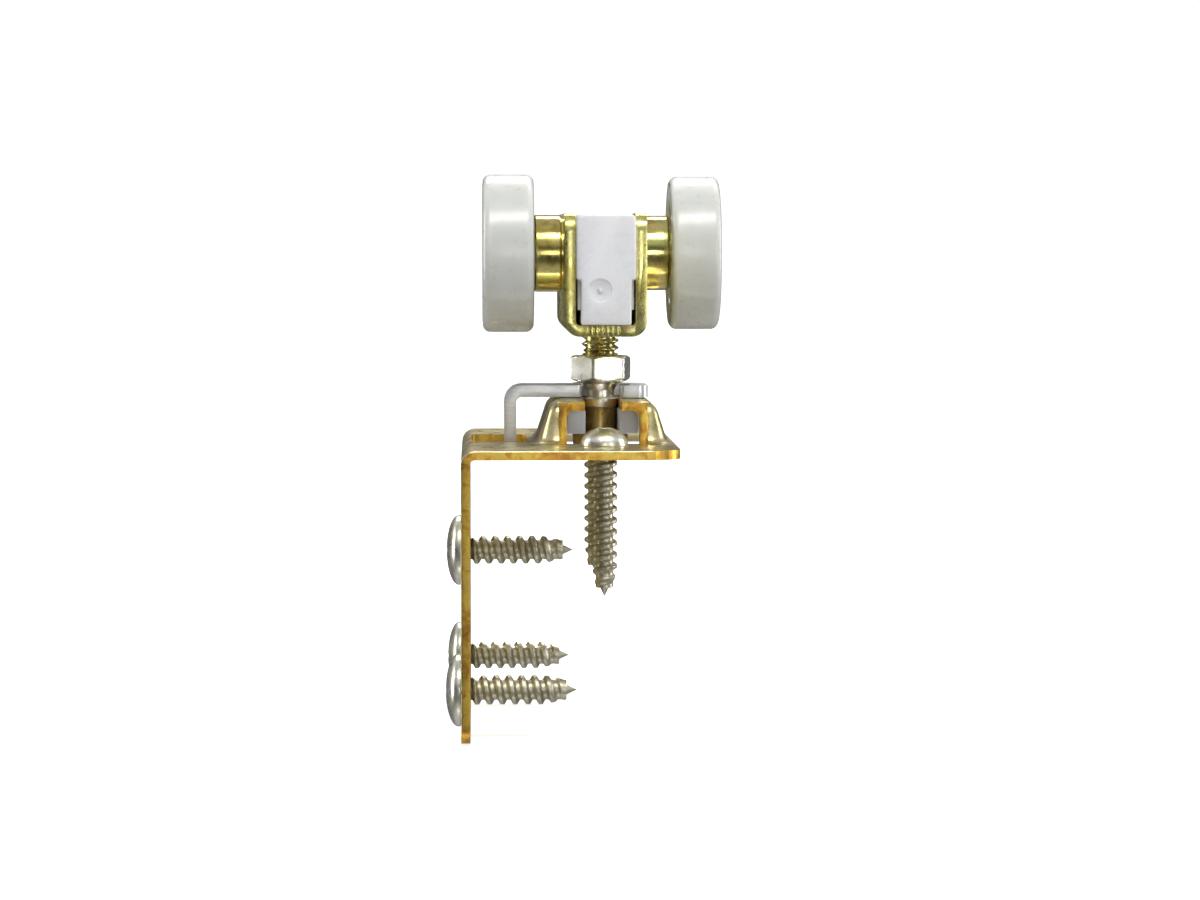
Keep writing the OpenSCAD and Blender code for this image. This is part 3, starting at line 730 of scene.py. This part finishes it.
# Rim height of the head, shank radius and thread pitch
SIDE_SCREW = (0.5, 2.4, 2.1)
TOP_SCREW = (0.35, 2.1, 1.9)


def thread_rows(low, high, major, minor, pitch, fade_low, fade_high, flat=0.12):
    """Rows of a right-hand thread that fades into its minor radius at the ends."""
    count = round((high - low) / pitch * ROWS_PER_TURN)
    rows = []
    for k in range(count + 1):
        z = low + (high - low) * k / count
        keep = min(1.0, (z - low) / fade_low, (high - z) / fade_high)

        def radius(t, z=z, keep=keep):
            phase = (z / pitch - t / math.tau) % 1.0
            ridge = (abs(2 * phase - 1) - flat) / (1 - 2 * flat)
            return minor + (major - minor) * max(0.0, min(1.0, ridge)) * max(0.0, keep)

        rows.append((radius, z))
    return rows


def cross_recess(place, axis, size, depth):
    """Two tapered blades that cut a cross into a head whose top centre is at place."""
    turn = Vector(axis).to_track_quat("Z", "Y").to_matrix()
    blades = []
    for spin in (0, math.pi / 2):
        bm = bmesh.new()
        rings = []
        for half_long, half_wide, z in ((size * 0.22, 0.30, -depth), (size * 0.40, 0.50, 0.3)):
            corners = [(-half_long, -half_wide), (half_long, -half_wide), (half_long, half_wide),
                       (-half_long, half_wide)]
            rings.append([bm.verts.new((turn @ (Matrix.Rotation(spin, 3, "Z") @ Vector((a, b, z)))
                                        + Vector(place)) * MM) for a, b in corners])
        for i in range(4):
            j = (i + 1) % 4
            bm.faces.new([rings[0][i], rings[0][j], rings[1][j], rings[1][i]])
        bm.faces.new(rings[0])
        bm.faces.new(rings[1])
        blades.append(as_object(bm, "recess_blade", [PALE]))
    return blades


def make_screw(node, axis, seat, head, length, kind):
    """A wood screw. seat is the middle of its head's underside, and axis points out of the head."""
    head_r, head_h = head
    rim, shank_r, pitch = kind
    bulge = head_h - rim
    dome = [(head_r * math.cos(t), rim + bulge * math.sin(t)) for t in arc_angles(0, 90, 14)]
    rows = [(0.05, -length), (shank_r * 0.35, -length + shank_r * 0.7)]
    rows += thread_rows(-length + shank_r * 0.7, -1.2, shank_r, shank_r * 0.68, pitch, 3.5, 1.0, 0.30)
    rows += [(shank_r * 0.9, -0.9), (shank_r, -0.5), (shank_r, 0), (head_r - 0.12, 0), (head_r, 0.12)]
    rows += [(r if r > 0.05 else 0.05, z) for r, z in dome]
    screw = spun(node + "_piece", rows, axis, seat, materials=[PALE, SHANK], steps=72)
    for face in screw.data.polygons:
        past = (face.center / MM - Vector(seat)).dot(Vector(axis))
        face.material_index = 1 if past < -0.5 else 0
    top = Vector(seat) + Vector(axis) * head_h
    for blade in cross_recess(top, axis, min(head_r, 4.4), head_h * 0.62):
        combine(screw, blade)
    smooth(screw, 32)
    placed(screw, node, "door_plate")


def make_screws():
    plate_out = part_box("door_plate")[0][0] / MM
    for node in ("side_screw_upper", "side_screw_near", "side_screw_far"):
        low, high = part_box(node)
        _, y, z = centre(node)
        length = high[0] / MM - plate_out
        head = ((high[1] - low[1]) / 2 / MM, plate_out - low[0] / MM)
        make_screw(node, (-1, 0, 0), (plate_out, y, z), head, length, SIDE_SCREW)
    for node in ("top_screw_near", "top_screw_far"):
        low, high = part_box(node)
        x, y, _ = centre(node)
        head = ((high[0] - low[0]) / 2 / MM, high[2] / MM - SHEET_T)
        make_screw(node, (0, 0, 1), (x, y, SHEET_T), head, SHEET_T - low[2] / MM, TOP_SCREW)


HEX_FLAT_R = 9.525 / 2
HEX_TURN = math.radians(16)
HEX_Z = (11.6, 15.8)
THREAD_PITCH = 1.27
THREAD_R = 3.175
THREAD_ROOT_R = 2.45
FOOT_R = 4.7
FOOT_TOP = 2.9
SHANK_R = 2.75
COLLAR_R = 3.0
COLLAR_Z = (7.1, 8.6)
NECK_R = 2.45
NECK_TOP = 10.0
CONE_R = 3.0
CONE_TOP = 11.05


def hex_rows():
    """A chamfered hexagon: flats cut by a cone at each end."""
    corner = HEX_FLAT_R / math.cos(math.radians(30)) - 0.07
    rows = []
    for k in range(29):
        z = HEX_Z[0] + (HEX_Z[1] - HEX_Z[0]) * k / 28
        cone = HEX_FLAT_R - 0.12 + min(z - HEX_Z[0], HEX_Z[1] - z) * 1.75

        def radius(t, cone=cone):
            off = (t - HEX_TURN) % math.radians(60) - math.radians(30)
            return min(HEX_FLAT_R / math.cos(off), corner, cone)

        rows.append((radius, z))
    return rows


def make_hanger_screw():
    low, high = [[v / MM for v in corner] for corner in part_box("hanger_screw")]
    lower = rounded([(0.05, low[2], 0), (FOOT_R, low[2], 0.6), (FOOT_R, FOOT_TOP, 0.15),
                     (SHANK_R, FOOT_TOP, 0.1), (SHANK_R, COLLAR_Z[0], 0.1), (COLLAR_R, COLLAR_Z[0], 0.1),
                     (COLLAR_R, COLLAR_Z[1], 0.2), (NECK_R, COLLAR_Z[1], 0.2), (NECK_R, NECK_TOP, 0.5),
                     (CONE_R, CONE_TOP, 0.2), (HEX_FLAT_R - 0.12, 11.55, 0)], steps=4)
    rows = lower + hex_rows()
    rows += [(3.5, HEX_Z[1] + 0.02), (3.15, HEX_Z[1] + 0.12), (2.9, HEX_Z[1] + 0.4)]
    rows += thread_rows(HEX_Z[1] + 0.5, high[2] - 0.4, THREAD_R, THREAD_ROOT_R, THREAD_PITCH, 0.5, 0.6)
    rows += [(2.3, high[2] - 0.25), (2.05, high[2]), (0.05, high[2])]
    screw = spun("hanger_screw_piece", rows, materials=[PALE, TUNNEL_SHADE_ZINC, OLIVE], start=HEX_TURN, steps=180)
    # Faces below the collar get the darker gold zinc, which is painted shade for the bolt inside the tunnel.
    # The thread gets olive zinc, and the rest gets pale zinc.
    for face in screw.data.polygons:
        z = face.center.z / MM
        face.material_index = 1 if z < COLLAR_Z[0] else 2 if z > HEX_Z[1] + 0.1 else 0
    smooth(screw, 28)
    placed(screw, "hanger_screw", "hanger_screw")


# ---------------------------------------------------------------- carriage

YOKE_T = 1.85
YOKE_BEND = 2.5
YOKE_CORNER = 3.0
TOOTH_PITCH = 0.85
TOOTH_ROWS = 3
TOOTH_HALF = 0.2
TOOTH_DEPTH = 0.7
YOKE_EDGE = 0.22
NUT_HOLE_R = 4.01
NUT_BORE_R = 3.225
NUT_SPIGOT_R = 4.0
NUT_R = 4.7


def make_yoke():
    low, high = [[v / MM for v in corner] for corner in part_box("yoke")]
    half, base, rim = high[0], low[2], high[2]
    inner = half - YOKE_T
    section = rounded([(-half, base, YOKE_BEND), (half, base, YOKE_BEND), (half, rim, 0), (inner, rim, 0),
                       (inner, base + YOKE_T, YOKE_BEND - YOKE_T), (-inner, base + YOKE_T, YOKE_BEND - YOKE_T),
                       (-inner, rim, 0), (-half, rim, 0)], closed=True, steps=8)
    yoke = prism("yoke_piece", section, low[1], high[1], "Y", [YELLOW])
    for end in (-1, 1):
        combine(yoke, corner_cutter((end * high[1], rim), (-end, -1), YOKE_CORNER, -half - 1, half + 1, "X"))
        outside, inside = end * (high[1] + 1), end * (high[1] - TOOTH_DEPTH)
        for k in range(-TOOTH_ROWS, TOOTH_ROWS + 1):
            x = k * TOOTH_PITCH - TOOTH_HALF
            notch = [(x - TOOTH_HALF, outside), (x + TOOTH_HALF, outside), (x + TOOTH_HALF, inside),
                     (x - TOOTH_HALF, inside)]
            combine(yoke, prism("tooth_cutter", notch, base - 1, base + YOKE_T + 0.5, materials=[YELLOW]))
    combine(yoke, hole_cutter(NUT_HOLE_R, (0, 0, 0), (0, 0, 1), base - 1, base + YOKE_T + 1))
    one_finish(yoke, YELLOW)
    bevel(yoke, YOKE_EDGE, 2, angle=40)
    placed(yoke, "yoke", "carriage")


def make_nut():
    low, high = [[v / MM for v in corner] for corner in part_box("clinch_nut")]
    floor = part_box("yoke")[0][2] / MM + YOKE_T
    rows = rounded([(NUT_BORE_R, low[2], 0.2), (NUT_SPIGOT_R, low[2], 0.1), (NUT_SPIGOT_R, floor, 0),
                    (NUT_R, floor, 0.05), (NUT_R, high[2], 0.5), (NUT_BORE_R, high[2], 0.4)],
                   closed=True, steps=4)
    nut = spun("clinch_nut_piece", rows, ring=True, materials=[YELLOW], steps=96)
    placed(nut, "clinch_nut", "carriage")


BLOCK_FOOT_HALF = 4.1
BLOCK_STEP_Z = 29.0
BLOCK_ROUND = 0.95
BLOCK_EDGE = 0.34
BLOCK_BORE_R = 3.7
NUT_ROOM_R = 4.8
RIB_HALF = 4.6
RIB_Z = 24.1
RIB_END = 27.0
DIMPLE_X = -1.0
DIMPLE_Z = 27.3
DIMPLE_R = 1.95


def make_block():
    low, high = [[v / MM for v in corner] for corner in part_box("bumper_block")]
    wide, foot_half, step_z = high[0], BLOCK_FOOT_HALF, BLOCK_STEP_Z
    section = rounded([(-foot_half, low[2], 0), (foot_half, low[2], 0), (foot_half, step_z, 0),
                       (wide, step_z, 0), (wide, high[2], BLOCK_ROUND), (-wide, high[2], BLOCK_ROUND),
                       (-wide, step_z, 0), (-foot_half, step_z, 0)], closed=True, steps=8)
    block = prism("bumper_block_piece", section, low[1], high[1], "Y", [WHITE])
    rib_top = step_z + 0.5
    rib = prism("rib", [(-RIB_HALF, RIB_Z), (RIB_HALF, RIB_Z), (RIB_HALF, rib_top), (-RIB_HALF, rib_top)],
                -RIB_END, RIB_END, "Y", [WHITE])
    bevel(block, BLOCK_EDGE, 3, angle=40)
    combine(block, rib, "UNION")
    for end in (low[1], high[1]):
        way = -1 if end < 0 else 1
        rows = [(DIMPLE_R, 1.0), (DIMPLE_R, 0), (1.9, -0.15), (1.2, -0.34), (0.5, -0.4), (0.05, -0.41)]
        dish = spun("dish", rows, (0, way, 0), (DIMPLE_X, end, DIMPLE_Z), materials=[WHITE], steps=48)
        combine(block, dish)
    for name, radius, height in (("bore", BLOCK_BORE_R, 40), ("nut_room", NUT_ROOM_R, 6)):
        rows = [(radius, 0), (radius, height)]
        combine(block, spun(name, rows, place=(0, 0, low[2] - 1), materials=[WHITE], steps=72))
    for place in STATIONS.values():
        side, y, z = place
        rows = [(4.1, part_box("yoke")[1][0] / MM - YOKE_T - 1.1), (4.1, 7)]
        combine(block, spun("pocket", rows, (side, 0, 0), (0, y, z), materials=[WHITE], steps=72))
    smooth(block, 40)
    nub = spun("nub", [(0.05, 0.0), (0.22, 0.02), (0.42, 0.2), (0.45, 0.6), (0.05, 0.62)], (0, 1, 0),
               (DIMPLE_X, low[1] + 0.02, DIMPLE_Z), materials=[WHITE], steps=32)
    join([block, nub])
    placed(block, "bumper_block", "carriage")


# ---------------------------------------------------------------- wheels

def station(name):
    low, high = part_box("tyre_" + name)
    side = 1 if low[0] > 0 else -1
    return side, (low[1] + high[1]) / 2 / MM, (low[2] + high[2]) / 2 / MM


STATIONS = {name: station(name) for name in ("near_left", "far_left", "right")}
WHEEL_IN = 11.7
WHEEL_OUT = 20.1
WHEEL_R = 13.0
BEARING = (12.6, 18.6)
BALL_R = 1.6
BALL_PITCH_R = 6.1
BALLS = 7
SPINDLE_R = 3.0
TAIL_R = 4.0
SHOULDER_R = 6.35
STEP_R = 4.2
AXLE_HEAD_R = 4.4


def lathe_at(name, rows, place, ring=False, material=None, steps=STEPS):
    side, y, z = place
    return spun(name, rows, (side, 0, 0), (0, y, z), ring=ring, materials=[material], steps=steps)


def groove(rows_before, rows_after, outward):
    """A ring's rows with a ball groove between them; outward is 1 on a ring outside the balls."""
    middle = sum(BEARING) / 2
    r = BALL_R + 0.05
    reach = math.radians(46)
    arc = [(BALL_PITCH_R + outward * r * math.cos(t), middle + r * math.sin(t))
           for t in [-reach + 2 * reach * k / 12 for k in range(13)]]
    if outward < 0:
        return rows_before + arc + rows_after
    return rows_before + list(reversed(arc)) + rows_after


def make_wheel(name, place):
    carriage, wheel, rolling = "carriage", "wheel_" + name, "balls_" + name
    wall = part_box("yoke")[1][0] / MM
    b0, b1 = BEARING
    axle = rounded([(0.05, wall - YOKE_T - 1, 0), (TAIL_R, wall - YOKE_T - 1, 0.3),
                    (TAIL_R, wall - YOKE_T, 0), (SPINDLE_R, wall - YOKE_T, 0), (SPINDLE_R, wall, 0),
                    (5.9, wall, 0.1),
                    (5.9, wall + 0.35, 0), (SHOULDER_R, wall + 0.5, 0.3), (SHOULDER_R, WHEEL_IN - 0.1, 0.35),
                    (STEP_R, WHEEL_IN - 0.1, 0), (STEP_R, b0, 0), (SPINDLE_R, b0, 0), (SPINDLE_R, b1, 0),
                    (AXLE_HEAD_R, b1, 0), (AXLE_HEAD_R, b1 + 1.2, 0.7), (1.5, b1 + 1.2, 0.2),
                    (1.2, b1 + 0.85, 0.2), (0.05, b1 + 0.8, 0)])
    placed(lathe_at("axle_" + name + "_piece", axle, place, material=AXLE),
           "axle_" + name, carriage)
    inner = groove([(3.01, b1 - 0.3), (3.01, b0 + 0.3), (3.31, b0), (4.65, b0), (4.95, b0 + 0.3)],
                   [(4.95, b1 - 0.3), (4.65, b1), (3.31, b1)], -1)
    placed(lathe_at("inner_ring_" + name + "_piece", inner, place, True, STEEL, 96),
           "inner_ring_" + name, carriage)
    outer = groove([(9.5, b0 + 0.3), (9.5, b1 - 0.3), (9.2, b1), (7.55, b1), (7.25, b1 - 0.3)],
                   [(7.25, b0 + 0.3), (7.55, b0), (9.2, b0)], 1)
    placed(lathe_at("outer_ring_" + name + "_piece", outer, place, True, STEEL, 96),
           "outer_ring_" + name, wheel)
    make_balls(name, place, rolling)
    tyre = rounded([(8.8, WHEEL_IN, 0.4), (12.0, WHEEL_IN, 0), (12.05, WHEEL_IN, 0), (WHEEL_R, WHEEL_IN, 1.25),
                    (WHEEL_R, WHEEL_OUT, 1.25), (11.7, WHEEL_OUT, 0.3), (11.5, WHEEL_OUT - 0.6, 0.2),
                    (10.3, WHEEL_OUT - 0.6, 0.2), (10.1, WHEEL_OUT, 0.3), (8.8, WHEEL_OUT, 0.4),
                    (8.8, b1 + 0.01, 0), (9.51, b1 + 0.01, 0), (9.51, b0 - 0.01, 0), (8.8, b0 - 0.01, 0)],
                   closed=True, steps=7)
    placed(lathe_at("tyre_" + name + "_piece", tyre, place, True, WHEEL, 180),
           "tyre_" + name, wheel)


def make_balls(name, place, body):
    side, y, z = place
    middle = sum(BEARING) / 2
    arc = [(max(0.01, BALL_R * math.cos(t)), BALL_R * math.sin(t)) for t in arc_angles(-90, 90, 20)]
    turn = Vector((side, 0, 0)).to_track_quat("Z", "Y").to_matrix()
    spots = []
    for k in range(BALLS):
        a = math.tau * k / BALLS
        spots.append(turn @ Vector((BALL_PITCH_R * math.cos(a), BALL_PITCH_R * math.sin(a), middle))
                     + Vector((0, y, z)))
    balls = [spun("ball", arc, place=spot, materials=[STEEL], steps=32) for spot in spots]
    balls[0].name = "ball_set_" + name + "_piece"
    placed(join(balls), "ball_set_" + name, body)
    rows = rounded([(5.7, middle - 2.1, 0.1), (6.5, middle - 2.1, 0.1), (6.5, middle + 2.1, 0.1),
                    (5.7, middle + 2.1, 0.1)], closed=True, steps=3)
    cage = lathe_at("cage_" + name + "_piece", rows, place, True, CAGE, 98)
    for spot in spots:
        ball = spun("pocket", [(r * 1.09, h * 1.09) for r, h in arc], place=spot, materials=[CAGE], steps=32)
        combine(cage, ball)
    smooth(cage)
    placed(cage, "cage_" + name, body)


# ---------------------------------------------------------------- the whole scene

make_camera()
make_world()
make_stage()
softbox("key", 8, 55, 0.75, (0.55, 0.18), 3.0)
softbox("back_top", 176, 47, 0.75, (0.60, 0.10), 2.8)
softbox("front", 33, 3, 0.80, (0.14, 0.30), 0.8)
softbox("camera_side", 2, 4, 0.90, (0.16, 0.16), 0.4)
softbox("right_edge", 96, 8, 0.70, (0.12, 0.50), 2.0)
softbox("left_edge", -104, 8, 0.70, (0.12, 0.50), 2.0)
softbox("floor_glow", 0, -62, 0.70, (0.50, 0.05), 0.35, (1.0, 0.90, 0.84))
make_door_plate()
make_liner()
make_lever()
make_lever_rivet()
make_screws()
make_hanger_screw()
make_yoke()
make_nut()
make_block()
for name, place in STATIONS.items():
    make_wheel(name, place)

bpy.context.scene.view_settings.view_transform = "Standard"
